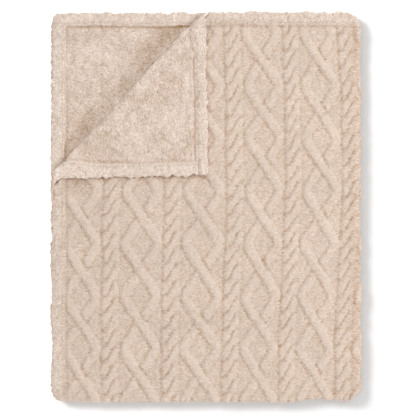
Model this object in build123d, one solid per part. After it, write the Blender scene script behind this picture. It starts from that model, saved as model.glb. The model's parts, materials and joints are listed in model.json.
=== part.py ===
from build123d import *
import math
import os

# A hemmed plush throw, folded in four, with the corner of its top layer turned back.
# Origin: middle of the footprint on the surface it lies on. +Z up, +Y towards the open
# top edges, +X towards the folded side. Millimetres.

# The cloth, hemmed and laid out flat
open_width = 1200
open_length = 1500
cloth_thickness = 6.5  # pile included, lightly pressed
layer_gap = 0.5  # air between two layers that lie on each other

# The hem: the cloth's edge turned over and sewn down with twin rows of thread
hem_width = 26
row_from_inner_edge = 1.5  # hem's inner edge to the nearer row
row_spacing = 5
thread_width = 1.2
thread_height = 0.8
thread_play = 0.1  # either side of a thread in its channel
hem_corner_radius = 9  # in plan, where the top hem meets the left one

# The turned back corner, measured along the edges from the unturned corner
turnback_top = 304
turnback_side = 309

upper_inset = 3  # left edges of the upper two layers, inside the lower two
fold_clearance = 0.4  # between the two halves of a fold that opens

# Layers count up from the surface: bottom and third, then second and top
layer_pitch = cloth_thickness + layer_gap
stack_height = 4 * layer_pitch - layer_gap
tight_inner = layer_gap / 2
tight_outer = tight_inner + cloth_thickness
wide_inner = tight_inner + layer_pitch
wide_outer = wide_inner + cloth_thickness

# The cloth's middle surface keeps its length through each fold
tight_arc = math.pi * (tight_inner + tight_outer) / 2
wide_arc = math.pi * (wide_inner + wide_outer) / 2
folded_width = (open_width + upper_inset - wide_arc) / 2 + wide_outer
folded_length = (open_length - tight_arc) / 2 + tight_outer

left = -folded_width / 2
right = folded_width / 2
top = folded_length / 2
side_fold_x = right - wide_outer
side_fold_z = stack_height / 2
bottom_fold_y = -folded_length / 2 + tight_outer

thread_rows = [hem_width - row_from_inner_edge - number * row_spacing for number in range(2)]
thread_heights = [thread_height / 2, cloth_thickness - thread_height / 2]

halves = {
    "lower": {"layers": ["bottom", "third"], "left": left, "floor": 0, "turn": -1},
    "upper": {"layers": ["second", "top"], "left": left + upper_inset, "floor": 2 * layer_pitch, "turn": 1},
}
outer_layers = ["bottom", "top"]
parts = {}


def hem_profile():
    # u runs inwards from the rounded edge, v up through the cloth
    edge_radius = cloth_thickness / 2
    flat_width = hem_width - edge_radius
    flat = Pos(edge_radius + flat_width / 2, edge_radius) * Rectangle(flat_width, cloth_thickness)
    profile = flat + Pos(edge_radius, edge_radius) * Circle(edge_radius)
    for row in thread_rows:
        for height in thread_heights:
            profile -= Pos(row, height) * Rectangle(thread_width + 2 * thread_play, thread_height)
    return profile


def thread_profile():
    rows = [Pos(row, height) for row in thread_rows for height in thread_heights]
    return Sketch() + [place * Rectangle(thread_width, thread_height) for place in rows]


def fold_profile(inner, outer):
    # Half ring that opens towards +u, its middle on the fold's axis
    return Circle(outer) - Circle(inner) - Pos(outer, 0) * Rectangle(2 * outer, 2 * outer)


def top_edge(x, z):
    return Plane(origin=(x, top, z), x_dir=(0, -1, 0), z_dir=(-1, 0, 0))


def left_edge(x, y, z):
    return Plane(origin=(x, y, z), x_dir=(1, 0, 0), z_dir=(0, -1, 0))


def bottom_edge(x, z):
    return Plane(origin=(x, bottom_fold_y, z), x_dir=(0, 1, 0), z_dir=(1, 0, 0))


def round_side_fold(section, turn):
    # A quarter turn round the side fold, from a layer to the fold's outermost line
    axis = Axis((side_fold_x, 0, side_fold_z), (0, turn, 0))
    swept = revolve(section, axis, revolution_arc=90)
    if turn > 0:
        return split(swept, bisect_by=Plane.XY.offset(side_fold_z + fold_clearance / 2), keep=Keep.TOP)
    return split(swept, bisect_by=Plane.XY.offset(side_fold_z - fold_clearance / 2), keep=Keep.BOTTOM)


def make_layer(name, layer_left, z):
    # One flat layer with its top and left hems, up to the tangent lines of its folds
    hem_inner_y = top - hem_width
    panel_width = side_fold_x - layer_left - hem_width
    panel_length = hem_inner_y - bottom_fold_y
    panel = Box(panel_width, panel_length, cloth_thickness, align=Align.MIN)
    parts[name + "_layer_panel"] = Pos(layer_left + hem_width, bottom_fold_y, z) * panel

    run = side_fold_x - layer_left
    top_hem = extrude(top_edge(layer_left, z) * hem_profile(), run, dir=(1, 0, 0))
    outline = Pos(layer_left + run / 2, top - hem_width / 2, z) * Box(
        run, hem_width, cloth_thickness, align=(Align.CENTER, Align.CENTER, Align.MIN)
    )
    corner = outline.edges().filter_by(Axis.Z).sort_by(Axis.X)[:2].sort_by(Axis.Y)[-1]
    parts[name + "_layer_top_hem"] = top_hem & fillet(corner, hem_corner_radius)

    left_hem = extrude(left_edge(layer_left, bottom_fold_y, z) * hem_profile(), panel_length, dir=(0, 1, 0))
    parts[name + "_layer_left_hem"] = left_hem

    top_thread_start = layer_left + thread_rows[-1]
    top_thread_profile = top_edge(top_thread_start, z) * thread_profile()
    top_thread = extrude(top_thread_profile, side_fold_x - top_thread_start, dir=(1, 0, 0))
    left_thread_profile = left_edge(layer_left, bottom_fold_y, z) * thread_profile()
    left_thread = extrude(left_thread_profile, panel_length, dir=(0, 1, 0))
    parts[name + "_layer_stitching"] = Part() + [top_thread, left_thread]


def make_half(name, half):
    half_left = half["left"]
    low, high = half["floor"], half["floor"] + layer_pitch
    turn = half["turn"]
    for layer, z in zip(half["layers"], (low, high)):
        make_layer(layer, half_left, z)

    # The bottom fold joins the half's two layers, and turns with them into the side fold
    axis_z = low + tight_outer
    hem_end = half_left + hem_width
    ring = fold_profile(tight_inner, tight_outer)
    bottom_ring = bottom_edge(hem_end, axis_z) * ring
    parts[name + "_bottom_fold"] = extrude(bottom_ring, side_fold_x - hem_end, dir=(1, 0, 0))
    parts[name + "_corner_fold"] = round_side_fold(bottom_edge(side_fold_x, axis_z) * ring, turn)

    hem_axis = Axis((0, bottom_fold_y, axis_z), (1, 0, 0))
    edge = left_edge(half_left, bottom_fold_y, high)
    parts[name + "_bottom_hem_turn"] = revolve(edge * hem_profile(), hem_axis, revolution_arc=180)
    threads = [revolve(edge * thread_profile(), hem_axis, revolution_arc=180)]

    # The side fold: the outer layer goes round the inner one
    for layer, z in zip(half["layers"], (low, high)):
        ply = "outer" if layer in outer_layers else "inner"
        section = Plane(origin=(side_fold_x, bottom_fold_y, z), x_dir=(0, 1, 0), z_dir=(1, 0, 0))
        length = top - hem_width - bottom_fold_y
        flat = section * Rectangle(length, cloth_thickness, align=Align.MIN)
        parts[f"{name}_side_fold_{ply}"] = round_side_fold(flat, turn)
        edge = top_edge(side_fold_x, z)
        parts[f"{name}_top_hem_turn_{ply}"] = round_side_fold(edge * hem_profile(), turn)
        threads.append(round_side_fold(edge * thread_profile(), turn))
    parts[name + "_turn_stitching"] = Part() + threads


def turn_back_corner():
    # The top layer's corner turns over about a line across it, half a turn up and over
    layer_left = halves["upper"]["left"]
    along = Vector(turnback_top, turnback_side, 0).normalized()
    inwards = Vector(along.Y, -along.X, 0)
    crease = Vector(layer_left, top - turnback_side, stack_height + layer_gap / 2)
    roll_start = crease + inwards * tight_outer
    keep_side = Plane(origin=roll_start, z_dir=inwards)
    turn_side = Plane(origin=crease - inwards * tight_outer, z_dir=-inwards)
    hinge = Axis(crease, -along)
    for piece in ("panel", "top_hem", "left_hem", "stitching"):
        whole = parts["top_layer_" + piece]
        parts["top_layer_" + piece] = split(whole, bisect_by=keep_side, keep=Keep.TOP)
        corner = split(whole, bisect_by=turn_side, keep=Keep.TOP)
        parts["flap_" + piece] = corner.rotate(hinge, 180)

    # Half ring along the crease, in a lower and an upper quarter that part when it opens
    span = math.hypot(turnback_top, turnback_side)
    across = Plane(origin=roll_start - along * span, x_dir=inwards, z_dir=along)
    roll = extrude(across * fold_profile(tight_inner, tight_outer), 3 * span)
    flat_layer = Pos(layer_left, bottom_fold_y, 0) * Box(
        side_fold_x - layer_left, top - bottom_fold_y, 2 * stack_height, align=Align.MIN
    )
    below = Plane.XY.offset(crease.Z - fold_clearance / 2)
    above = Plane.XY.offset(crease.Z + fold_clearance / 2)
    parts["crease_roll_lower"] = split(roll, bisect_by=below, keep=Keep.BOTTOM) & flat_layer
    parts["crease_roll_upper"] = split(roll, bisect_by=above, keep=Keep.TOP) & flat_layer.rotate(hinge, 180)
    print("crease hinge point", crease, "axis", -along)


for half_name, half_values in halves.items():
    make_half(half_name, half_values)
turn_back_corner()

print("side fold hinge x", right, "z", side_fold_z)
os.makedirs("parts", exist_ok=True)
for node, shape in parts.items():
    shape.label = node
    export_step(shape, f"parts/{node}.step")
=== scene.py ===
import json
import math

import bmesh
import bpy
import numpy as np
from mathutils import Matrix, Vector


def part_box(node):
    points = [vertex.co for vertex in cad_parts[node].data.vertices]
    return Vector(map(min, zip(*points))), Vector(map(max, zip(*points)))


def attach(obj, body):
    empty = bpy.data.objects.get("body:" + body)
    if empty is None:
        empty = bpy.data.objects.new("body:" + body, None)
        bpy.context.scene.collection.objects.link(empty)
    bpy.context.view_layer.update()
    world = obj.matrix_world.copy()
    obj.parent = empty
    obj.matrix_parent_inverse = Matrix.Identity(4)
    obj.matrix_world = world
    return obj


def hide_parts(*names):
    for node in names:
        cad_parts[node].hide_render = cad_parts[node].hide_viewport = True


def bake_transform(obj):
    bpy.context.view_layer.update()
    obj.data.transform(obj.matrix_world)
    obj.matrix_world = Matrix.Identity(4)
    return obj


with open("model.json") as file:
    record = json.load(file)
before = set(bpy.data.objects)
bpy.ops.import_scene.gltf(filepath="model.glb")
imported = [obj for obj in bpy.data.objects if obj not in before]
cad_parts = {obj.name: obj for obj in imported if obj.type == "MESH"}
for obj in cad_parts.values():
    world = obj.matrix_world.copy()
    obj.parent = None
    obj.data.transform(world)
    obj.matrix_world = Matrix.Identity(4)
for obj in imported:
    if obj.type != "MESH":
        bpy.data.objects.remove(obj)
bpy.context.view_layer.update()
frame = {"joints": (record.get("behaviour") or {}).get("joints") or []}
mm = 0.001  # the cloth is worked out in millimetres and turned into metres at the end

# how the folded cloth lies, read from the fixed frame
panelLow, panelHigh = (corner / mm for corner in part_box("top_layer_panel"))
hemLow, hemHigh = (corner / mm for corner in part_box("top_layer_left_hem"))
hinges = {joint["name"]: joint for joint in frame["joints"]}

fold = {
    "left": hemLow.x,
    "lowerLeft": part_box("bottom_layer_left_hem")[0].x / mm,
    "top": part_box("second_layer_top_hem")[1].y / mm,
    "sideX": panelHigh.x,
    "bottomY": panelLow.y,
    "axisZ": hinges["side_fold_opens"]["pos_m"][2] / mm,
    "clothZ": (panelLow.z + panelHigh.z) / 2,  # middle of the top layer
    "half": (panelHigh.z - panelLow.z) / 2,
    "hem": hemHigh.x - hemLow.x,
}
fold["pitch"] = (fold["clothZ"] - fold["axisZ"]) / 1.5  # one layer to the next
fold["tight"] = fold["pitch"] / 2  # middle radius of a tight fold
fold["wide"] = fold["clothZ"] - fold["axisZ"]
fold["pSide"] = fold["sideX"] - fold["left"]
fold["qBottom"] = fold["top"] - fold["bottomY"]
fold["tightArc"] = math.pi * fold["tight"]
fold["wideArc"] = math.pi * fold["wide"]
fold["pEndOuter"] = fold["pSide"] + fold["wideArc"] + fold["sideX"] - fold["lowerLeft"]
fold["pEndInner"] = fold["pSide"] + fold["tightArc"] + fold["sideX"] - fold["lowerLeft"]
fold["qEnd"] = 2 * fold["qBottom"] + fold["tightArc"]

def smooth(low, high, value):
    # rises from 0 at low to 1 at high, or falls when high is the smaller
    share = np.clip((value - low) / (high - low), 0, 1)
    return share * share * (3 - 2 * share)


def patches(u, v, size, seed):
    # soft random patches over the cloth, from -1 to 1
    grid = np.random.default_rng(seed).uniform(-1, 1, (64, 64))
    a, b = u / size, v / size
    i, j = np.floor(a).astype(int), np.floor(b).astype(int)
    s, t = smooth(0, 1, a - i), smooth(0, 1, b - j)
    i0, i1, j0, j1 = i % 64, (i + 1) % 64, j % 64, (j + 1) % 64
    low = grid[i0, j0] * (1 - s) + grid[i1, j0] * s
    high = grid[i0, j1] * (1 - s) + grid[i1, j1] * s
    return low * (1 - t) + high * t


def line(distance, width):
    return np.exp(-((distance / width) ** 2))


def dome(distance, half):
    return np.sqrt(np.clip(1 - (distance / half) ** 2, 0, 1))


def vary(kind, u, v):
    # kind is how much, over what distance, and the seed of its pattern
    amount, size, seed = kind
    return amount * patches(u, v, size, seed)


def raised(part, shape):
    # part is the value where shape is 0, and how much is added where it is 1
    low, rise = part
    return low + rise * shape


knit = {
    "cables": (113.0, 230.0, 348.5, 459.5, 567.0),  # left edge of the cloth to each cable's middle
    "pitch": 113.9,
    "cableHalf": 16.5,
    "cableSoft": 1.2,  # how gently the cable meets the ground
    "cableTwist": 31.6,  # one stroke of the twist to the next
    "cableRise": 17.0,  # how far a stroke climbs from the cable's middle to its side
    "cableTurn": 2.1,  # how steep a stroke is in the middle, against its ends
    "firstStroke": 26.0,
    "strokeSlant": 0.62,  # turns a distance down the cable into one square to a stroke
    "strokeFades": (0.55, 4.0, 13.0),  # how much of a stroke is lost on the right, and where
    "ply": (9.0, 9.8),  # a stroke to the top of the ply beside it, and the ply's half width
    "latticeStep": 101.6,  # one crossing to the next
    "firstDiamond": 446.5,  # top edge to a diamond's middle
    "latticeReach": 29.8,
    "strandHalf": 10.2,
    "strandTop": 1.5,  # how far right of its middle a strand is highest
    "strandSoft": (1.0, 1.5),  # how gently the upper and the lower strand end at their sides
    "roundness": 1.15,  # 1 would round a strand down to nothing at its sides
    "crossingReach": 4.0,
    "bend": 0.972,  # 1 is a sharp zigzag, near 0 a sine
    "groove": 2.7,
    "depth": 3.6,
    "waver": 1.35,  # how unevenly the pile breaks the lines
    "lean": (7.0, 513.0),  # how far the columns lean, and how far in from the left edge
    "leanTurns": (285.0, 415.0),  # where the lean is greatest, and how far down the cloth it turns round
}

uneven = {
    # each one: how much, over what distance, and the seed of its pattern
    "columns": (1.2, 48, 11),
    "rows": (1.6, 55, 12),
    "ground": (0.07, 14, 13),
    "sideways": (0.55, 12, 14),
    "sidewaysFine": (0.85, 4.2, 15),
    "down": (0.5, 12, 16),
    "downFine": (0.8, 4.2, 19),
    "lineWidth": (0.2, 16, 17),
    "breaks": (0.30, 4.0, 18),
}

carve = {
    # height at the sides of each part, and the rise to its middle
    "rope": (0.5, 0.5),
    "ply": (0.62, 0.38),
    "under": (0.60, 0.30),
    "over": (0.66, 0.34),
    "ground": 0.50,
    "groundShade": 0.16,  # how much darker the ground is than the strands
    "overTone": (1.02, 0.15),  # the upper strand is paler on its right side
    # how deep each line is cut, and how much painted shade darkens it
    "stroke": (0.85, 0.62),
    "cableLeft": (0.7, 0.42),
    "cableRight": (0.25, 0.16),
    "underLeft": (0.75, 0.42),
    "underRight": (0.2, 0.26),
    "overLeft": (0.62, 0.45),
    "overRight": (0.12, 0.16),
    "crossing": (0.3, 0.60),  # more of overRight where two strands cross
    "strokeNarrow": 0.95,
    "overNarrow": 0.9,
    "unbroken": 0.84,  # how much of a line shows where nothing breaks it
    "breakDepth": (0.7, 0.3),
    "palest": 1.2,
}


def cableCoordinates(p, q):
    # distance from the nearest cable's middle, the columns wandering a little down the cloth
    (lean, leanAt), (leanFrom, leanOver) = knit["lean"], knit["leanTurns"]
    p = p - lean * p / leanAt * np.cos(math.pi * (q - leanFrom) / leanOver) - vary(uneven["columns"], p, q)
    first, last = knit["cables"][0], knit["cables"][-1]
    ends = [first - 2 * knit["pitch"], first - knit["pitch"], *knit["cables"]]
    ends += [last + knit["pitch"] * step for step in range(1, 7)]
    place = np.interp(p, ends, np.arange(len(ends)))
    return (place - np.round(place)) * knit["pitch"]


def ropeRelief(across, q, width):
    # the twisted cable: its height and its tone
    side = across / knit["cableHalf"]
    climb = knit["cableRise"] * np.tanh(knit["cableTurn"] * side) / math.tanh(knit["cableTurn"])
    phase = (q + climb - knit["firstStroke"]) / knit["cableTwist"]
    stroke = (phase - np.round(phase)) * knit["cableTwist"] * knit["strokeSlant"]
    fades, fadeStart, fadeEnd = knit["strokeFades"]
    fade = 1 - fades * smooth(fadeStart, fadeEnd, across)
    plyTop, plyHalf = knit["ply"]
    rope = raised(carve["rope"], dome(side, knit["roundness"]))
    rope = rope * raised(carve["ply"], dome(np.abs(stroke) - plyTop, plyHalf))
    cut, dark = carve["stroke"]
    rope = rope * (1 - cut * fade * line(stroke, width))
    # painted shade in the groove of each stroke
    return rope, 1.0 - dark * fade * line(stroke, width * carve["strokeNarrow"])


def latticeRelief(across, p, q, width):
    # two strands cross in the middle of each lattice column, the falling one on top
    middle = np.abs(across) - knit["pitch"] / 2
    middle = np.where(across < 0, -middle, middle)
    turn = math.pi * (q - knit["firstDiamond"]) / knit["latticeStep"]
    swing = np.arcsin(knit["bend"] * np.cos(turn)) / math.asin(knit["bend"])
    slope = -knit["bend"] * np.sin(turn) / np.sqrt(1 - (knit["bend"] * np.cos(turn)) ** 2)
    slope = slope * knit["latticeReach"] * math.pi / knit["latticeStep"] / math.asin(knit["bend"])
    lean = 1 / np.sqrt(1 + slope**2)
    oneWay = (middle - knit["latticeReach"] * swing) * lean
    otherWay = (middle + knit["latticeReach"] * swing) * lean
    over = np.where(slope > 0, oneWay, otherWay)
    under = np.where(slope > 0, otherWay, oneWay)
    half, (overSoft, underSoft) = knit["strandHalf"], knit["strandSoft"]
    round, top = half * knit["roundness"], knit["strandTop"]
    crossing = 1 - smooth(half, half + knit["crossingReach"], np.abs(under))
    onOver = 1 - smooth(half - overSoft, half + overSoft, np.abs(over))
    onUnder = 1 - smooth(half - underSoft, half + underSoft, np.abs(under))
    underLeft, underRight = line(under + half, width), line(under - half, width)
    overLeft, overRight = line(over + half, width), line(over - half, width)
    overCut = line(over - half, width * carve["overNarrow"])

    ground = carve["ground"] + vary(uneven["ground"], p, q)
    height = ground * (1 - onUnder) + onUnder * raised(carve["under"], dome(under - top, round))
    height = height * (1 - carve["underLeft"][0] * underLeft - carve["underRight"][0] * underRight)
    height = height * (1 - onOver) + onOver * raised(carve["over"], dome(over - top, round))
    height = height * (1 - carve["overLeft"][0] * overLeft)
    height = height * (1 - (carve["overRight"][0] + carve["crossing"][0] * crossing) * overCut)

    # painted shade in the grooves beside each strand
    tone = 1 - carve["underLeft"][1] * underLeft - carve["underRight"][1] * underRight
    tone = tone - carve["groundShade"] * (1 - onUnder)
    tone = tone * (1 - onOver) + onOver * raised(carve["overTone"], over / half)
    tone = tone - carve["overLeft"][1] * overLeft
    return height, tone - (carve["overRight"][1] + carve["crossing"][1] * crossing) * overRight


def relief(p, q):
    # the carved pattern: its height, 1 on top and 0 in a groove, and its tone, with painted shade in the
    # grooves
    sideways = vary(uneven["sideways"], p, q) + vary(uneven["sidewaysFine"], p, q)
    across = cableCoordinates(p, q) + knit["waver"] * sideways
    down = vary(uneven["down"], p, q) + vary(uneven["downFine"], p, q)
    q = q + vary(uneven["rows"], p, q) + knit["waver"] * down
    width = knit["groove"] * (1 + vary(uneven["lineWidth"], p, q))
    broken = carve["unbroken"] + vary(uneven["breaks"], p, q)
    rope, ropeTone = ropeRelief(across, q, width)
    lattice, latticeTone = latticeRelief(across, p, q, width)
    half, soft = knit["cableHalf"], knit["cableSoft"]
    onCable = 1 - smooth(half - soft, half + soft, np.abs(across))
    left, right = line(across + half, width), line(across - half, width)
    height = rope * onCable + lattice * (1 - onCable)
    height = height * (1 - carve["cableLeft"][0] * left - carve["cableRight"][0] * right)
    tone = ropeTone * onCable + latticeTone * (1 - onCable)
    # painted shade in the grooves at the cable's sides
    tone = tone - carve["cableLeft"][1] * left - carve["cableRight"][1] * right
    height = 1 - (1 - height) * raised(carve["breakDepth"], broken)
    return height, np.clip(1 - (1 - tone) * broken, 0, carve["palest"])


def bendBottom(q, n):
    # over the bottom fold: place along Y, and height above the side fold's axis
    angle = np.clip(q - fold["qBottom"], 0, fold["tightArc"]) / fold["tight"]
    beyond = np.maximum(q - fold["qBottom"] - fold["tightArc"], 0)
    y = fold["bottomY"] + np.maximum(fold["qBottom"] - q, 0) + beyond - (fold["tight"] + n) * np.sin(angle)
    return y, fold["pitch"] + (fold["tight"] + n) * np.cos(angle)


def bendSide(p, height, radius):
    angle = np.clip((p - fold["pSide"]) / radius, 0, math.pi)
    beyond = np.maximum(p - fold["pSide"] - math.pi * radius, 0)
    x = fold["left"] + np.minimum(p, fold["pSide"]) + height * np.sin(angle) - beyond
    return x, fold["axisZ"] + height * np.cos(angle)


outline = {
    # sides, and how far the corner is drawn in along X and along Y
    "corners": {
        "right bottom": (1, -1, 12, 8),
        "left bottom": (-1, -1, 5, 6),
        "right top": (1, 1, 10, 5),
        "left top": (-1, 1, 4, 3),
    },
    "cornerReach": 34.0,
    "cornerEnd": 1.1,  # how far past the reach a corner goes on being drawn in
    "cornerPower": 2.5,
    "dip": (219.0, 42.0, 6.0),  # where the lower edge is drawn up, how wide and how far
    "dipReach": 110.0,
    "scallop": (1.9, 47.0),  # how far the side fold bulges, and the spacing of its bulges
    "scallopRest": 0.6,
    "scallopReach": 40.0,
    "scallopDrift": (5, 60, 53),
    "wanderX": (1.3, 52.0, 51),
    "wanderY": (1.3, 52.0, 52),
    "soft": 38.0,  # height above which the pile is pressed down, and the highest it may reach
    "highest": 41.9,
    "parting": (0.3, 1.8),  # least distance from the side fold's plane, and where the pile is first pressed
}


def easeOutline(x, y):
    # the pile of layers isn't a true rectangle: its corners are soft and its edges wander
    half, top, low = -fold["lowerLeft"], fold["top"], fold["bottomY"] - fold["pitch"]
    reach = outline["cornerReach"]
    for sideX, sideY, pullX, pullY in outline["corners"].values():
        fromY = y - top if sideY > 0 else low - y
        u = np.clip((sideX * x - half + reach) / reach, 0, outline["cornerEnd"])
        v = np.clip((fromY + reach) / reach, 0, outline["cornerEnd"])
        x = x - sideX * pullX * u * v ** outline["cornerPower"]
        y = y - sideY * pullY * v * u ** outline["cornerPower"]
    middle, width, rise = outline["dip"]
    y = y + rise * line(x - middle, width) * smooth(low + outline["dipReach"], low, y)
    bulge, spacing = outline["scallop"]
    drift = vary(outline["scallopDrift"], x * 0, y)
    waves = np.abs(np.sin(math.pi * (y + drift) / spacing)) - outline["scallopRest"]
    x = x + bulge * waves * smooth(half - outline["scallopReach"], half, x)
    return x + vary(outline["wanderX"], x, y), y + vary(outline["wanderY"], x, y)


def keepClear(z):
    # nothing goes through the floor, and the highest pile is pressed down a little
    over = np.maximum(z - outline["soft"], 0)
    room = outline["highest"] - outline["soft"]
    return np.maximum(np.minimum(z, outline["soft"]) + room * np.tanh(over / room), 0.0)


def keepApart(height):
    # the two middle layers are pressed together and don't pass through each other
    least, soft = outline["parting"]
    over = np.maximum(soft - height, 0)
    return np.maximum(height, soft) - (soft - least) * np.tanh(over / (soft - least))


def lieFolded(p, q, n, radius):
    y, height = bendBottom(q, n)
    height = keepApart(height)
    x, z = bendSide(p, height, radius)
    x, y = easeOutline(x, y)
    return np.stack([x, y, keepClear(z)], axis=1)


turned = {
    "alongTop": 304.5,  # upper corner to the start of the roll, along the top edge
    "alongSide": 339.0,  # and down the left edge
    "corner": (301.5, 314.2),  # where the corner comes to lie: rightwards and down from its old place
    "across": 3.6,  # half width of the roll at its upper end
    "acrossLow": 7.0,  # and where the left hem goes round it
    "high": 4.6,  # half height of the roll, at the same two places
    "highLow": 6.6,
    "hollow": 0.3,  # least half height left open inside the roll
    "squeeze": 0.9,  # how much of the cloth's relief shows on the side of the roll
    "settles": (1.0, 3.0),  # roll lengths over which the cloth comes to its own place
    "lift": 1.9,  # gap to the top layer under the corner
    "settle": 60.0,  # how far from the crease it has sunk to that
    "bulge": 6.0,  # how far the crease bows out between its ends
    "bulgeStarts": 0.17,  # shares of the crease's length over which the bow begins and ends
    "bulgeEnds": 0.85,
    "uneven": (0.6, 60, 31),
    "unevenReach": 30.0,
    "curl": 44.0,  # how far down the left hem stays curled over itself beside the crease, and over what width
    "curlReach": 38.0,
    "curlPower": 1.3,
    "curlHem": (34.0, 4.0),  # from the cloth's edge, where the curl begins and is full
    "tuck": 0.8,  # how much of its distance from the edge the curled hem loses
    "tuckHem": (28.0, 12.0),
    "tuckEnds": 24.0,  # how far past the roll, and where it ends across the cloth
    "tuckWidth": (60.0, 40.0),
    "curlStays": (6.0, 34.0),  # the hem beside the crease turns with the corner from here to here
}

rollLow = np.array([fold["left"], fold["top"] - turned["alongSide"]])
along = np.array([turned["alongTop"], turned["alongSide"]])
along = along / np.hypot(*along)
outwards = np.array([-along[1], along[0]])


def beyondCrease(p, q):
    # distance past the line where the roll starts, and place along it from its lower end
    dx, dy = fold["left"] + p - rollLow[0], fold["top"] - q - rollLow[1]
    return dx * outwards[0] + dy * outwards[1], dx * along[0] + dy * along[1]


rollLength = np.hypot(turned["alongTop"], turned["alongSide"])


def rollSize(s):
    low = np.clip(1 - s / rollLength, 0, 1)
    across = turned["across"] + (turned["acrossLow"] - turned["across"]) * low
    high = turned["high"] + (turned["highLow"] - turned["high"]) * low
    return across, high, math.pi * (across + high) / 2


def rollEnd(start, step):
    # where the roll ends on one of the cloth's edges: before it is rolled, and once it is laid down
    reach = rollSize(beyondCrease(*start)[1])[2]
    p, q = start - step * reach / beyondCrease(*(start - step))[0]
    d, s = beyondCrease(p, q)
    return max(p, q), np.array([p + along[1] * d, q + along[0] * d])


topEnd, topLaid = rollEnd(np.array([turned["alongTop"], 0.0]), np.array([1.0, 0.0]))
sideEnd, sideLaid = rollEnd(np.array([0.0, turned["alongSide"]]), np.array([0.0, 1.0]))


def creaseBow(s):
    share = s / rollLength
    return turned["bulge"] * smooth(0, turned["bulgeStarts"], share) * smooth(1, turned["bulgeEnds"], share)


def lieTurnedBack(p, q, n):
    d, s = beyondCrease(p, q)
    bow = creaseBow(s)
    d = d - bow
    across, high, length = rollSize(s)
    angle = np.clip(d / length, 0, 1) * math.pi
    past = np.maximum(d - length, 0)
    # past the roll, the cloth's corner is laid down at its own place
    corner = np.array(turned["corner"])
    right, down = (topLaid - corner) / topEnd, (sideLaid - corner) / sideEnd
    flapP = corner[0] + right[0] * p + down[0] * q
    flapQ = corner[1] + right[1] * p + down[1] * q
    flapOut, flapAlong = beyondCrease(flapP, flapQ)
    place = s + (flapAlong - s) * smooth(0, 1, d / length)
    out = bow - past + (flapOut + past - bow) * smooth(*turned["settles"], d / length)
    n = np.where(n > 0, np.minimum(n, high - turned["hollow"]), n)
    out = out + (across - n * turned["squeeze"]) * np.sin(angle) + np.minimum(d, 0)
    rest = fold["clothZ"] + fold["pitch"] + turned["lift"]
    down = (rest - fold["clothZ"] - 2 * high) * smooth(0, turned["settle"], past)
    bump = vary(turned["uneven"], p, q) * smooth(0, turned["unevenReach"], past)
    z = fold["clothZ"] + high * (1 - np.cos(angle)) + n * np.cos(angle) + down + bump
    x = rollLow[0] + along[0] * place + outwards[0] * out
    y = rollLow[1] + along[1] * place + outwards[1] * out
    # the left hem is stiff, so it curls over along the edge before it follows the crease
    u = x - fold["left"]
    started = smooth(0, length / 2, d)
    drop = np.clip(1 - u / turned["curlReach"], 0, 1) ** turned["curlPower"]
    y = y - turned["curl"] * drop * smooth(*turned["curlHem"], p) * started
    tuck = turned["tuck"] * np.maximum(u, 0) * smooth(*turned["tuckHem"], p) * started
    x = x - tuck * smooth(length + turned["tuckEnds"], length, d) * smooth(*turned["tuckWidth"], u)
    x, y = easeOutline(x, y)
    return np.stack([x, y, keepClear(z)], axis=1)


lay = {
    "cell": 8.8,  # mesh size before the faces that show are divided
    "faceProud": 2.0,  # top of the relief above the plain cloth, on the free side
    "pile": 0.85,  # how unevenly the pile stands on the face, and on the back
    "backPile": 1.15,
    "pileCoarse": (1, 5.0, 21),
    "pileFine": (0.6, 5.0 / 2.2, 22),
    "wobble": (3, 11, 23),
    "loose": (1, 9, 24),
    "looseFine": 0.8,
    "ghost": (1.3, 0.7),  # how much of the relief shows on the back, and the height that stays level
    "clouds": (0.25, 34, 25),
    "smallClouds": (0.15, 14, 26),
    "backTone": (0.50, 0.40),
    "pileTone": 0.08,
    "dip": (0.62, 2.6, 0.5),  # how far the stitching pulls the cloth in, how wide, and where
    "inHem": (1.0, 0.35),  # from here on inside the hem this much of the cloth's thickness is left
    "seamWidth": 2.6,
    "seamAt": 0.6,
}

# painted shadow in the pocket beside the curled hem and under the corner's lower hem, and painted shade
# beside the side fold
shaded = {
    "pocket": (0.30, 48.0, 30.0, 327.0, 18.0),  # how dark, then middle and width across and down
    "underHem": 0.55,  # how dark, and where it starts and is full from its four sides
    "underHemDown": ((326, 315), (298, 312)),
    "underHemAcross": ((308, 296), (24, 40)),
    "besideFold": (0.22, 22.0),  # how dark, and how far from the side fold
}

swell = {
    # second layer beside the turned-back roll, by distance from the crease
    "high": 7.5,
    "starts": (-1, 5),
    "ends": (42, 6),
    # painted shadow of the roll, and where it starts and where it ends
    "dark": 0.34,
    "darkStarts": (2, 20),
    "darkEnds": (60, 14),
    # painted light on the pile right under the roll
    "paintedLight": 0.25,  # the pile right under the roll
    "paintedLightEnds": (18, 8),
    "fine": -12.0,  # the mesh is fine from here on
}


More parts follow.
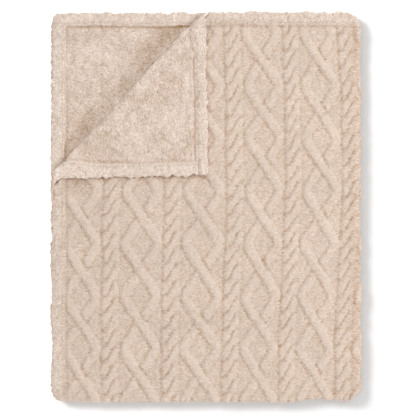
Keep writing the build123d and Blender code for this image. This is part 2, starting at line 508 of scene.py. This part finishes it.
def flatCloth(name, pRange, qRange, fine, cut=None, backWhere=None):
    # a thin closed slab laid out flat: x is p, y is -q, z is 1 on the face and 0 on the back
    width, length = pRange[1] - pRange[0], qRange[1] - qRange[0]
    bm = bmesh.new()
    across, down = round(width / lay["cell"]), round(length / lay["cell"])
    bmesh.ops.create_grid(bm, x_segments=across, y_segments=down, size=0.5)
    bmesh.ops.scale(bm, vec=(width, length, 1), verts=bm.verts)
    bmesh.ops.translate(bm, vec=(pRange[0] + width / 2, -qRange[0] - length / 2, 0), verts=bm.verts)
    if cut:
        whole = bm.verts[:] + bm.edges[:] + bm.faces[:]
        bmesh.ops.bisect_plane(bm, geom=whole, plane_co=cut[0], plane_no=cut[1], clear_outer=True)
    made = bmesh.ops.extrude_face_region(bm, geom=bm.faces[:])
    lifted = [part for part in made["geom"] if isinstance(part, bmesh.types.BMVert)]
    bmesh.ops.translate(bm, vec=(0, 0, 1), verts=lifted)
    bmesh.ops.recalc_face_normals(bm, faces=bm.faces)
    for height, cuts, where in ((1, fine[0], None), (0, fine[1], backWhere)):
        edges = [e for e in bm.edges if all(abs(v.co.z - height) < 0.01 for v in e.verts)]
        if where:
            edges = [e for e in edges if all(where(v.co.x, -v.co.y) for v in e.verts)]
        if cuts and edges:
            bmesh.ops.subdivide_edges(bm, edges=edges, cuts=cuts, use_grid_fill=True)
    mesh = bpy.data.meshes.new(name)
    bm.to_mesh(mesh)
    bm.free()
    return mesh


def finishCloth(mesh, flat, placed, tone):
    # gives a mesh its place, its own cloth coordinates and its pile's tone, painted shade and light included
    mesh.vertices.foreach_set("co", (placed * mm).astype(np.float32).ravel())
    corners = np.zeros(len(mesh.loops), np.int32)
    mesh.loops.foreach_get("vertex_index", corners)
    layer = mesh.uv_layers.new(name="cloth")
    layer.data.foreach_set("uv", (flat[corners] * mm).astype(np.float32).ravel())
    mesh.attributes.new("relief", "FLOAT", "POINT").data.foreach_set("value", tone.astype(np.float32))
    mesh.shade_smooth()
    mesh.update()
    piece = bpy.data.objects.new(mesh.name, mesh)
    bpy.context.scene.collection.objects.link(piece)
    return piece


def coordinates(mesh):
    co = np.zeros(len(mesh.vertices) * 3, np.float32)
    mesh.vertices.foreach_get("co", co)
    return co.reshape(-1, 3).astype(float)


def clothShade(p, q):
    # painted shadow in the pocket and under the corner's lower hem, painted shade beside the side fold
    dark, atP, wideP, atQ, wideQ = shaded["pocket"]  # down in the pocket beside the curled hem
    shade = dark * line(p - atP, wideP) * line(q - atQ, wideQ)
    under = shaded["underHem"]
    for (start, full), place in zip(shaded["underHemDown"] + shaded["underHemAcross"], (q, q, p, p)):
        under = under * smooth(start, full, place)
    dark, reach = shaded["besideFold"]
    return shade + under + dark * smooth(fold["pSide"] - reach, fold["pSide"], p)


def clothThickness(p, q, face, proud, backProud):
    # distance from the cloth's middle, out of the face or out of the back, and the pile's tone with its
    # painted shade
    wobble = vary(lay["wobble"], p, q)
    fine = vary(lay["pileCoarse"], p + wobble, q) + vary(lay["pileFine"], p, q + wobble)
    height, tone = relief(p, q)
    faceN = fold["half"] + proud + (height - 1) * knit["depth"] + lay["pile"] * fine
    loose = vary(lay["loose"], p + 2 * wobble, q) + lay["looseFine"] * fine
    ghost, level = lay["ghost"]
    backN = -(fold["half"] + backProud + ghost * (height - level) + lay["backPile"] * loose)
    faceTone = tone + lay["pileTone"] * fine - clothShade(p, q)
    clouds = vary(lay["clouds"], p, q) + vary(lay["smallClouds"], p, q)
    # the back shows a faint copy of the face's tone, its painted groove shade included
    backTone = raised(lay["backTone"], tone) + clouds + lay["pileTone"] * loose
    return np.where(face, faceN, backN), np.where(face, faceTone, backTone)


def edgeDistance(p, q, pEnd):
    return np.minimum(np.minimum(p, pEnd - p), np.minimum(q, fold["qEnd"] - q))


def tuckUnderHem(n, p, q, pEnd):
    # the cloth dips at the stitching and goes inside the hem
    edge = edgeDistance(p, q, pEnd) - fold["hem"]
    dip, width, place = lay["dip"]
    inside, left = lay["inHem"]
    return n * (1 - dip * line(edge - place, width)) * np.where(edge < -inside, left, 1)


def seamShade(p, q, pEnd, alongLeft, alongTop):
    # painted shade in the dip along the hem's stitching
    fromLeft = np.minimum(p, pEnd - p) - fold["hem"] - lay["seamAt"]
    fromTop = np.minimum(q, fold["qEnd"] - q) - fold["hem"] - lay["seamAt"]
    return alongLeft * line(fromLeft, lay["seamWidth"]) + alongTop * line(fromTop, lay["seamWidth"])


def underCrease(n, tone, p, q, face):
    # the cloth's reverse swells up beside the turned-back roll; a painted shadow of the roll lies on it, with
    # painted light right under the roll
    d, s = beyondCrease(p, fold["qEnd"] - q)
    d = np.where(face, math.inf, d - creaseBow(s))
    n = n - swell["high"] * smooth(*swell["starts"], d) * smooth(*swell["ends"], d)
    tone = tone - swell["dark"] * smooth(*swell["darkEnds"], d) * smooth(*swell["darkStarts"], d)
    return n, tone + swell["paintedLight"] * smooth(*swell["paintedLightEnds"], d)


def makeCloth(name, pRange, qRange, radius, fine, proud, seams, cut=None, backWhere=None):
    # fine and proud are pairs: how often the mesh is divided and how far the pile stands, on face and back
    mesh = flatCloth(name, pRange, qRange, fine, cut, backWhere)
    co = coordinates(mesh)
    p, q, face = co[:, 0], -co[:, 1], co[:, 2] > 0.5
    pEnd = fold["pEndOuter"] if radius == fold["wide"] else fold["pEndInner"]
    n, tone = clothThickness(p, q, face, *proud)
    if backWhere:
        n, tone = underCrease(n, tone, p, q, face)
    n = tuckUnderHem(n, p, q, pEnd)
    tone = tone - seamShade(p, q, pEnd, *seams)
    return finishCloth(mesh, co[:, :2], lieFolded(p, q, n, radius), tone)


print("cloth")
outerStart = fold["hem"] - 3  # the cloth ends this far in from its edge, inside the hem
cutPoint = Vector((0, -turned["alongSide"], 0))
cutNormal = Vector((outwards[0], outwards[1], 0))
topCloth = makeCloth(
    "topCloth",
    (outerStart, fold["pSide"] + fold["wideArc"]),
    (outerStart, fold["qBottom"] + fold["tightArc"]),
    fold["wide"], (3, 0), (lay["faceProud"], -0.2), (0.0, 0.2), (cutPoint, cutNormal),
)
print("top cloth", len(topCloth.data.polygons))
bottomCloth = makeCloth(
    "bottomCloth",
    (fold["pSide"] + fold["wideArc"], fold["pEndOuter"] - outerStart),
    (outerStart, fold["qBottom"] + fold["tightArc"]),
    fold["wide"], (2, 0), (-0.1, -0.2), (0.3, 0.3),
)


def openTriangle(p, q):
    return beyondCrease(p, fold["qEnd"] - q)[0] > swell["fine"]


innerCloth = makeCloth(
    "innerCloth",
    (outerStart, fold["pEndInner"] - outerStart),
    (fold["qBottom"] + fold["tightArc"], fold["qEnd"] - outerStart),
    fold["tight"], (1, 3), (0.0, -0.3), (0.12, 0.8), None, openTriangle,
)


flap = {
    "size": (330, 340),  # more than is left of it once it is cut along the crease
    "fine": (3, 3),
    "proud": (0.0, -0.1),
    "seams": (0.15, 0.15),
    # painted light near the crease, and on the outside of the roll
    "paintedLight": (0.10, 40, 18),  # how pale the reverse is near the crease, and where
    "rollPaintedLight": (0.70, 21, 11),
}


def makeFlap():
    pEnd, qEnd = flap["size"]
    cut = (cutPoint, -cutNormal)
    mesh = flatCloth("flapCloth", (outerStart, pEnd), (outerStart, qEnd), flap["fine"], cut)
    co = coordinates(mesh)
    p, q, face = co[:, 0], -co[:, 1], co[:, 2] > 0.5
    n, tone = clothThickness(p, q, face, *flap["proud"])
    n = tuckUnderHem(n, p, q, fold["pEndOuter"])
    d = beyondCrease(p, q)[0]
    (paintedLight, start, full), (rollPaintedLight, rollStart, rollFull) = flap["paintedLight"], flap["rollPaintedLight"]
    # painted light along the crease and on the roll's outer side
    tone = tone - seamShade(p, q, fold["pEndOuter"], *flap["seams"]) + paintedLight * smooth(start, full, d)
    tone = tone + rollPaintedLight * smooth(rollStart, rollFull, d) * (1 - face)
    return finishCloth(mesh, co[:, :2], lieTurnedBack(p, q, n), tone)


flapCloth = makeFlap()


hem = {
    "rows": (19.5, 24.5),  # the two rows of stitches, from the cloth's edge
    "around": 40,  # corners round the hem's tube
    "step": 2.0,  # length of one ring of it
    "puff": 3.6,  # how far it swells where it lies free
    "puffPower": 0.7,
    "pressed": 0.62,  # how much of it is left at the turned-back corner and below it
    "fades": 20.0,  # length over which the swelling fades
    "over": 0.8,  # how far the hem reaches over the cloth
    "edgeRound": 4.2,
    "innerRound": 2.4,
    "endRound": 7.0,
    "endWidth": 0.75,  # width left at a rounded end
    "pinch": (1.1, 1.7),  # how far a row of stitches pulls the hem in, and how wide
    "fuzz": 1.5,  # how unevenly the pile stands
    "fuzzCoarse": (1, 6.5, 41),
    "fuzzFine": (0.7, 2.6, 42),
    "otherSide": 200,  # shift of the pattern from one side of the hem to the other
    "calmEdge": (3.0, 0.25),  # the pile is lower near both edges
    "calmInner": (4.0, 0.2),
    "ragged": 0.7,
    "raggedCoarse": (2.0, 15, 43),
    "raggedFine": (1.9, 5.0, 44),
    "raggedReach": 11.0,
    "lumps": (0.16, 9, 45),
    "smallLumps": (0.14, 4, 46),
    "rowShade": (0.16, 1.6),
    "seamStarts": 2.0,  # the seam's shade starts this far outside the cloth
    "palest": 1.2,
    "edgeShade": 0.4,
}


def roundedEnd(distance, radius, least=0):
    return np.sqrt(np.clip(1 - (1 - np.minimum(distance / radius, 1)) ** 2, least, 1))


def hemSection(a, side, free, freeBack):
    # how far a hem's surface stands out of the cloth's middle, a distance in from the cloth's edge
    width = fold["hem"]
    outer = roundedEnd(a, hem["edgeRound"])
    inner = roundedEnd(width + hem["over"] - a, hem["innerRound"])
    arch = np.clip(np.sin(math.pi * np.clip(a / width, 0, 1)), 0, 1) ** hem["puffPower"]
    puff = hem["puff"] * np.where(side > 0, free, freeBack) * arch
    deep, wide = hem["pinch"]
    pinch = sum(line(a - row, wide) for row in hem["rows"])
    return side * (fold["half"] + puff - deep * pinch) * outer * inner


def makeTubes(name, count, sides, rings):
    # closed tubes of length 1, side by side
    bm = bmesh.new()
    for row in range(count):
        made = bmesh.ops.create_cone(bm, cap_ends=True, segments=sides, radius1=1, radius2=1, depth=1)
        bmesh.ops.translate(bm, vec=(sewing["apart"] * row, 0, 0), verts=made["verts"])
    lengthwise = [e for e in bm.edges if abs(e.verts[0].co.z - e.verts[1].co.z) > 0.5]
    bmesh.ops.subdivide_edges(bm, edges=lengthwise, cuts=rings - 1)
    mesh = bpy.data.meshes.new(name)
    bm.to_mesh(mesh)
    bm.free()
    return mesh


def makeHem(name, place, length, free, freeBack, roundStart, roundEnd):
    # a tube along the cloth's edge; place turns distances along, in from the edge and outwards into a point
    mesh = makeTubes(name, 1, hem["around"], round(length / hem["step"]))
    co = coordinates(mesh)
    t = co[:, 2] + 0.5
    turns = np.arctan2(co[:, 1], co[:, 0])
    freeNow, backNow = free(t), freeBack(t)
    a = fold["hem"] / 2 * (1 + np.cos(turns)) + hem["over"]
    side = np.where(np.sin(turns) >= 0, 1.0, -1.0)
    n = hemSection(a, side, freeNow, backNow)
    for flag, end in ((roundStart, t * length), (roundEnd, (1 - t) * length)):
        if flag:
            shrink = roundedEnd(end, hem["endRound"], 0.02)
            n = n * shrink
            width = hem["endWidth"] + (1 - hem["endWidth"]) * shrink
            a = fold["hem"] / 2 + (a - fold["hem"] / 2) * width
    p, q, placed = place(t, a, n, side)
    return mesh, p, q, placed, n, a, side


def fuzzy(n, p, q, a, side):
    shift = hem["otherSide"] * side
    lumps = hem["fuzz"] * (vary(hem["fuzzCoarse"], p + shift, q) + vary(hem["fuzzFine"], p, q + shift))
    (edgeReach, edgeLeast), (innerReach, innerLeast) = hem["calmEdge"], hem["calmInner"]
    calm = np.clip(a / edgeReach, edgeLeast, 1) * np.clip((fold["hem"] + 1 - a) / innerReach, innerLeast, 1)
    return n + side * lumps * calm


def raggedEdge(a, p, q):
    inwards = hem["ragged"] + vary(hem["raggedCoarse"], p, q) + vary(hem["raggedFine"], p, q)
    return a - inwards * smooth(hem["raggedReach"], 0, a)


def hemPiece(name, length, lineOf, lie, free, freeBack, roundStart, roundEnd, seam, shade):
    def place(t, a, n, side):
        p, q = lineOf(t, a)
        ragged = raggedEdge(a, p, q)
        p, q = lineOf(t, ragged)
        return p, q, lie(p, q, fuzzy(n, p, q, a, side))

    mesh, p, q, placed, n, a, side = makeHem(name, place, length, free, freeBack, roundStart, roundEnd)
    # painted shade in the pinched rows of stitches and at the seam
    dark, wide = hem["rowShade"]
    rows = dark * sum(line(a - row, wide) for row in hem["rows"])
    shift = hem["otherSide"] * side
    lumps = vary(hem["lumps"], p + shift, q) + vary(hem["smallLumps"], p + shift, q)
    paintedSeamShade = seam * smooth(fold["hem"] - hem["seamStarts"], fold["hem"] + hem["over"], a)
    tone = np.clip(1 + lumps - rows - paintedSeamShade, 0, hem["palest"])
    inwards = hem["edgeShade"] + (1 - hem["edgeShade"]) * smooth(0, fold["hem"], a)
    tone = tone - shade * inwards * (q < fold["qBottom"])
    return finishCloth(mesh, np.stack([p, -q], axis=1), placed, tone)


sewing = {
    "stitch": 5.0,
    "ring": 1.25,  # length of one step of the thread's tube
    "thick": 0.45,
    "show": 0.55,  # how far a stitch rises out of the pile and sinks back
    "sides": 5,
    "apart": 10,  # the tubes are made side by side this far apart
}


def sewHem(name, length, lineOf, lie, free, freeBack):
    # two rows of thread on each side of a hem, going in and out of the pile
    mesh = makeTubes(name, 4, sewing["sides"], round(length / sewing["ring"]))
    co = coordinates(mesh)
    row = np.round(co[:, 0] / sewing["apart"]).astype(int)
    t, side = co[:, 2] + 0.5, np.where(row < 2, 1.0, -1.0)
    a = np.array(hem["rows"])[row % 2]
    wave = sewing["show"] * np.cos(2 * math.pi * (t * length / sewing["stitch"] + 0.5 * (row % 2)))
    p, q = lineOf(t, a)
    n = fuzzy(hemSection(a, side, free(t), freeBack(t)), p, q, a, side) + side * wave
    around = np.arctan2(co[:, 1], co[:, 0] - sewing["apart"] * row)
    p, q = lineOf(t, a + sewing["thick"] * np.cos(around))
    placed = lie(p, q, n + sewing["thick"] * np.sin(around))
    return finishCloth(mesh, np.stack([p, -q], axis=1), placed, 1 + 0 * t)


def lieOuter(p, q, n):
    return lieFolded(p, q, n, fold["wide"])


def lieInner(p, q, n):
    return lieFolded(p, q, n, fold["tight"])


def creaseOnTop(a):
    # place along the top edge where the roll starts, a distance in from the edge
    return turned["alongTop"] * (1 - a / turned["alongSide"])


def creaseOnSide(a):
    return turned["alongSide"] * (1 - a / turned["alongTop"])


def blendLine(t, start, end):
    return start + (end - start) * t


def pressedFlat(t):
    return 0.0 * t


def halfPressed(t):
    return hem["pressed"] + 0 * t


def fadeIn(distance):
    return np.clip(distance / hem["fades"], 0, 1)


print("hems")
topRun = fold["pEndOuter"] - creaseOnTop(0)
leftStart, leftStop = fold["hem"] - 5, fold["qEnd"] - fold["hem"] + 5
hemRuns = {
    # length, the line of its edge and of a row beside it, how the cloth lies there,
    # and where its two sides are free to swell
    "outerTopHem": {
        "length": topRun,
        "lineOf": lambda t, a: (blendLine(t, creaseOnTop(a), fold["pEndOuter"]), a),
        "lie": lieOuter,
        "free": lambda t: fadeIn(fold["pSide"] - creaseOnTop(0) - t * topRun),
        "freeBack": pressedFlat,
    },
    "innerTopHem": {
        "length": fold["pEndInner"],
        "lineOf": lambda t, a: (t * fold["pEndInner"], fold["qEnd"] - a),
        "lie": lieInner,
        "free": pressedFlat,
        "freeBack": lambda t: hem["pressed"] * fadeIn(creaseOnTop(0) - 12 - t * fold["pEndInner"]),
    },
    "upperLeftHem": {
        "length": fold["qEnd"] - fold["hem"] - creaseOnSide(0),
        "lineOf": lambda t, a: (a, blendLine(t, creaseOnSide(a), leftStop)),
        "lie": lieOuter,
        "free": lambda t: fadeIn(fold["qBottom"] - blendLine(t, creaseOnSide(0), fold["qEnd"])),
        "freeBack": lambda t: hem["pressed"]
        * fadeIn(t * fold["qEnd"] + (2 - t) * creaseOnSide(0) - fold["qEnd"] - 15),
    },
    "lowerLeftHem": {
        "length": fold["qEnd"] - 2 * fold["hem"],
        "lineOf": lambda t, a: (fold["pEndOuter"] - a, blendLine(t, leftStart, leftStop)),
        "lie": lieOuter,
        "free": pressedFlat,
        "freeBack": pressedFlat,
    },
    "flapTopHem": {
        "length": creaseOnTop(0),
        "lineOf": lambda t, a: (t * creaseOnTop(a), a),
        "lie": lieTurnedBack,
        "free": pressedFlat,
        "freeBack": halfPressed,
    },
    "flapLeftHem": {
        "length": creaseOnSide(0) - leftStart,
        "lineOf": lambda t, a: (a, blendLine(t, leftStart, creaseOnSide(a))),
        "lie": lieTurnedBack,
        "free": pressedFlat,
        "freeBack": halfPressed,
    },
}
roundEnds = {"outerTopHem": (False, True), "innerTopHem": (True, True), "flapTopHem": (True, False)}
# painted shade on each hem at its stitching, and how much darker where it lies on the face side
seams = {"upperLeftHem": 0.0, "outerTopHem": 0.3, "flapTopHem": 0.2, "flapLeftHem": 0.4}
shades = {"upperLeftHem": 0.20, "outerTopHem": 0.22, "innerTopHem": -0.08, "flapTopHem": 0.16}
hems, threads = {}, {}
for name, run in hemRuns.items():
    roundStart, roundEnd = roundEnds.get(name, (False, False))
    seam, shade = seams.get(name, 0.75), shades.get(name, 0.0)
    hems[name] = hemPiece(name, **run, roundStart=roundStart, roundEnd=roundEnd, seam=seam, shade=shade)
    threads[name] = sewHem(name.replace("Hem", "Thread"), **run)
print("hems", sum(len(piece.data.polygons) for piece in hems.values()))
print("threads", sum(len(piece.data.polygons) for piece in threads.values()))


def addNode(tree, kind, **values):
    node = tree.nodes.new("ShaderNode" + kind)
    for name, value in values.items():
        if hasattr(node, name):
            setattr(node, name, value)
        else:
            node.inputs[name.replace("_", " ")].default_value = value
    return node


def setInputs(node, values):
    for name, value in values.items():
        node.inputs[name].default_value = value


def pileGrain():
    tree = bpy.data.node_groups.new("pileGrain", "ShaderNodeTree")
    for name, start in (("Size", 4.0), ("Stretch", 1.6), ("Contrast", 0.2)):
        tree.interface.new_socket(name, in_out="INPUT", socket_type="NodeSocketFloat").default_value = start
    tree.interface.new_socket("Vector", in_out="INPUT", socket_type="NodeSocketVector")
    tree.interface.new_socket("Tone", in_out="OUTPUT", socket_type="NodeSocketFloat")
    tree.interface.new_socket("Height", in_out="OUTPUT", socket_type="NodeSocketFloat")
    link = tree.links.new
    given, result = tree.nodes.new("NodeGroupInput"), tree.nodes.new("NodeGroupOutput")
    # the pile lies in slightly different directions from place to place
    swirl = addNode(tree, "TexNoise", Scale=1 / (26 * mm), Detail=1.0)
    centred = addNode(tree, "VectorMath", operation="SUBTRACT")
    centred.inputs[1].default_value = (0.5, 0.5, 0.5)
    amount = addNode(tree, "VectorMath", operation="SCALE", Scale=11 * mm)
    moved = addNode(tree, "VectorMath", operation="ADD")
    link(given.outputs["Vector"], swirl.inputs["Vector"])
    link(swirl.outputs["Color"], centred.inputs[0])
    link(centred.outputs[0], amount.inputs[0])
    link(given.outputs["Vector"], moved.inputs[0])
    link(amount.outputs[0], moved.inputs[1])
    perSize = addNode(tree, "Math", operation="DIVIDE")
    perSize.inputs[0].default_value = 1 / mm
    link(given.outputs["Size"], perSize.inputs[1])
    sideways = addNode(tree, "Math", operation="DIVIDE")
    link(perSize.outputs[0], sideways.inputs[0])
    link(given.outputs["Stretch"], sideways.inputs[1])
    scales = addNode(tree, "CombineXYZ")
    for axis, source in (("X", sideways), ("Y", perSize), ("Z", perSize)):
        link(source.outputs[0], scales.inputs[axis])
    sized = addNode(tree, "VectorMath", operation="MULTIPLY")
    link(moved.outputs[0], sized.inputs[0])
    link(scales.outputs[0], sized.inputs[1])
    clumps = addNode(tree, "TexNoise", Scale=1.0, Detail=3.0, Roughness=0.62, Distortion=0.7)
    strands = addNode(tree, "TexNoise", Scale=1.9, Detail=2.0, Roughness=0.7, Distortion=0.4)
    both = addNode(tree, "Mix", data_type="FLOAT", Factor=0.45)
    for texture, socket in ((clumps, 2), (strands, 3)):
        link(sized.outputs[0], texture.inputs["Vector"])
        link(texture.outputs["Fac"], both.inputs[socket])
    tone = addNode(tree, "MapRange", From_Min=0.32, From_Max=0.68, To_Min=-1.0, To_Max=1.0, clamp=False)
    weigh = addNode(tree, "Math", operation="MULTIPLY")
    link(both.outputs["Result"], tone.inputs["Value"])
    link(tone.outputs["Result"], weigh.inputs[0])
    link(given.outputs["Contrast"], weigh.inputs[1])
    link(weigh.outputs[0], result.inputs["Tone"])
    link(both.outputs["Result"], result.inputs["Height"])
    return tree


grainGroup = pileGrain()


def startMaterial(name, size, stretch, contrast):
    # a cloth material with the grain of its pile
    material = bpy.data.materials.new(name)
    material.use_nodes = True
    tree = material.node_tree
    uv = addNode(tree, "UVMap", uv_map="cloth")
    grain = tree.nodes.new("ShaderNodeGroup")
    grain.node_tree = grainGroup
    setInputs(grain, {"Size": size, "Stretch": stretch, "Contrast": contrast})
    tree.links.new(uv.outputs["UV"], grain.inputs["Vector"])
    return material, tree, uv, grain


def addBump(tree, grain, strength, depth):
    bump = addNode(tree, "Bump", Strength=strength, Distance=depth * mm)
    tree.links.new(grain.outputs["Height"], bump.inputs["Height"])
    tree.links.new(bump.outputs["Normal"], tree.nodes["Principled BSDF"].inputs["Normal"])


def plush(name, pile, groove, size, stretch, contrast, bumpDepth, calm):
    material, tree, uv, grain = startMaterial(name, size, stretch, contrast)
    link = tree.links.new
    shader = tree.nodes["Principled BSDF"]
    setInputs(shader, {"Roughness": 0.95, "Specular IOR Level": 0.1, "Sheen Weight": 0.3})
    setInputs(shader, {"Sheen Roughness": 0.5, "Sheen Tint": (1.0, 0.97, 0.94, 1)})
    depth = addNode(tree, "Attribute", attribute_name="relief")
    nap = addNode(tree, "TexNoise", Scale=16.0, Detail=2.0)
    napTone = addNode(tree, "MapRange", From_Min=0.3, From_Max=0.7, To_Min=0.965, To_Max=1.035)
    link(uv.outputs["UV"], nap.inputs["Vector"])
    link(nap.outputs["Fac"], napTone.inputs["Value"])
    # the mesh's tone carries painted shade in the grooves and under the folds and painted light along the
    # crease; between the tufts one sees down to the warmer roots of the pile
    height = addNode(tree, "Math", operation="ADD")
    link(depth.outputs["Fac"], height.inputs[0])
    # the raised strands are combed smoother than the ground between them
    calmer = addNode(tree, "MapRange", From_Min=0.78, From_Max=1.1, To_Min=1.0, To_Max=calm)
    combed = addNode(tree, "Math", operation="MULTIPLY")
    link(depth.outputs["Fac"], calmer.inputs["Value"])
    link(grain.outputs["Tone"], combed.inputs[0])
    link(calmer.outputs["Result"], combed.inputs[1])
    link(combed.outputs[0], height.inputs[1])
    base = addNode(tree, "Mix", data_type="RGBA", clamp_factor=False)
    setInputs(base, {"A": (*groove, 1), "B": (*pile, 1)})
    link(height.outputs[0], base.inputs["Factor"])
    shade = addNode(tree, "VectorMath", operation="SCALE")
    link(base.outputs["Result"], shade.inputs[0])
    link(napTone.outputs["Result"], shade.inputs["Scale"])
    link(shade.outputs[0], shader.inputs["Base Color"])
    addBump(tree, grain, 0.8, bumpDepth)
    return material


def sewingThread():
    material, tree, _, grain = startMaterial("sewingThread", 1.4, 1.0, 0.5)
    link = tree.links.new
    shader = tree.nodes["Principled BSDF"]
    setInputs(shader, {"Roughness": 0.6, "Sheen Weight": 0.15})
    colour = addNode(tree, "Mix", data_type="RGBA")
    setInputs(colour, {"A": (0.60, 0.47, 0.37, 1), "B": (0.78, 0.65, 0.55, 1)})
    link(grain.outputs["Height"], colour.inputs["Factor"])
    link(colour.outputs["Result"], shader.inputs["Base Color"])
    addBump(tree, grain, 0.6, 0.2)
    return material


print("materials")
piles = {
    # colour of the tips and of the roots, which also gives the painted shade its warm brown; the tufts' size
    # and how long they lie, how they stand out, how deep they are, and how much of them is left on the combed
    # strands
    "plushFace": ((0.71, 0.575, 0.478), (0.47, 0.325, 0.225), 2.2, 2.4, 0.95, 1.3, 0.55),
    "plushBack": ((0.73, 0.595, 0.50), (0.48, 0.335, 0.235), 2.4, 1.6, 1.10, 1.5, 1.0),
    "plushHem": ((0.785, 0.655, 0.56), (0.50, 0.355, 0.25), 2.7, 1.0, 1.05, 2.2, 1.0),
}
pileFace, pileBack, pileHem = (plush(name, *values) for name, values in piles.items())
threadCoat = sewingThread()

dressed = [
    ("plush_cloth", pileFace, (topCloth, bottomCloth)),
    ("plush_cloth", pileBack, (innerCloth, flapCloth)),
    ("plush_hem", pileHem, hems.values()),
    ("sewing_thread", threadCoat, threads.values()),
]
for slot, material, group in dressed:
    for piece in group:
        piece.data.materials.append(material)

# what each piece moves with and stands for
across = [group[name] for group in (hems, threads) for name in ("outerTopHem", "innerTopHem")]
for piece in (topCloth, innerCloth, *across):
    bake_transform(piece)
for piece in (flapCloth, hems["flapTopHem"], threads["flapTopHem"]):
    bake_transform(piece)
# the curl of the left hem stays on the edge; the corner's left hem keeps the place it was built in
for piece in (hems["flapLeftHem"], threads["flapLeftHem"]):
    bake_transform(piece)
for piece in (bottomCloth, hems["lowerLeftHem"], threads["lowerLeftHem"]):
    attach(piece, "lower_half")
for piece in (hems["upperLeftHem"], threads["upperLeftHem"]):
    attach(piece, "upper_half")

stands = {
    "topCloth": ["top_layer_panel", "upper_bottom_fold", "upper_corner_fold", "lower_corner_fold",
                 "upper_side_fold_outer", "lower_side_fold_outer"],
    "bottomCloth": ["bottom_layer_panel", "lower_bottom_fold"],
    "innerCloth": ["second_layer_panel", "third_layer_panel",
                   "upper_side_fold_inner", "lower_side_fold_inner"],
    "flapCloth": ["flap_panel", "crease_roll_lower", "crease_roll_upper"],
    "outerTopHem": ["top_layer_top_hem", "bottom_layer_top_hem",
                    "upper_top_hem_turn_outer", "lower_top_hem_turn_outer"],
    "innerTopHem": ["second_layer_top_hem", "third_layer_top_hem",
                    "upper_top_hem_turn_inner", "lower_top_hem_turn_inner"],
    "upperLeftHem": ["top_layer_left_hem", "second_layer_left_hem", "upper_bottom_hem_turn"],
    "lowerLeftHem": ["bottom_layer_left_hem", "third_layer_left_hem", "lower_bottom_hem_turn"],
    "flapTopHem": ["flap_top_hem"],
    "flapLeftHem": ["flap_left_hem"],
    "outerTopThread": ["top_layer_stitching", "bottom_layer_stitching"],
    "innerTopThread": ["second_layer_stitching", "third_layer_stitching"],
    "upperLeftThread": ["upper_turn_stitching"],
    "lowerLeftThread": ["lower_turn_stitching"],
    "flapTopThread": ["flap_stitching"],
}
for name, nodes in stands.items():
    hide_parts(*nodes)

print("stage")
floorMesh = bpy.data.meshes.new("floor")
bm = bmesh.new()
bmesh.ops.create_grid(bm, x_segments=1, y_segments=1, size=6)
bm.to_mesh(floorMesh)
bm.free()
floor = bpy.data.objects.new("floor", floorMesh)
bpy.context.scene.collection.objects.link(floor)
floorMaterial = bpy.data.materials.new("paleFloor")
floorMaterial.use_nodes = True
floorShader = floorMaterial.node_tree.nodes["Principled BSDF"]
setInputs(floorShader, {"Base Color": (0.86, 0.86, 0.86, 1), "Roughness": 0.9})
floorMesh.materials.append(floorMaterial)

studio = {"sky": 0.845, "lens": 135, "width": 0.8055}
lamps = {
    # power, size, place, and whether it lights the cloth or the floor
    "clothLight": (27, 0.9, (2.0, 0.35, 2.0), "cloth"),
    "floorLight": (130, 1.4, (-2.3, 1.4, 2.1), "floor"),
}
lit = {"cloth": bpy.data.collections.new("cloth"), "floor": bpy.data.collections.new("floor")}
lit["floor"].objects.link(floor)
for piece in (topCloth, bottomCloth, innerCloth, flapCloth, *hems.values(), *threads.values()):
    lit["cloth"].objects.link(piece)
for name, (power, size, place, what) in lamps.items():
    lamp = bpy.data.lights.new(name, "AREA")
    lamp.energy, lamp.size = power, size
    light = bpy.data.objects.new(name, lamp)
    light.location = place
    light.rotation_mode = "QUATERNION"
    light.rotation_quaternion = (-Vector(place)).to_track_quat("-Z", "Y")
    bpy.context.scene.collection.objects.link(light)
    light.light_linking.receiver_collection = lit[what]
sky = bpy.data.worlds.new("studio")
sky.use_nodes = True
setInputs(sky.node_tree.nodes["Background"], {"Color": (1, 1, 1, 1), "Strength": studio["sky"]})
bpy.context.scene.world = sky
bpy.context.scene.view_settings.view_transform = "Standard"

cameraData = bpy.data.cameras.new("camera")
cameraData.lens = studio["lens"]
cameraData.sensor_width = 36
camera = bpy.data.objects.new("camera", cameraData)
camera.location = (0.0046, -0.0015, studio["width"] * studio["lens"] / 36 + fold["axisZ"] * mm)
bpy.context.scene.collection.objects.link(camera)
bpy.context.scene.camera = camera
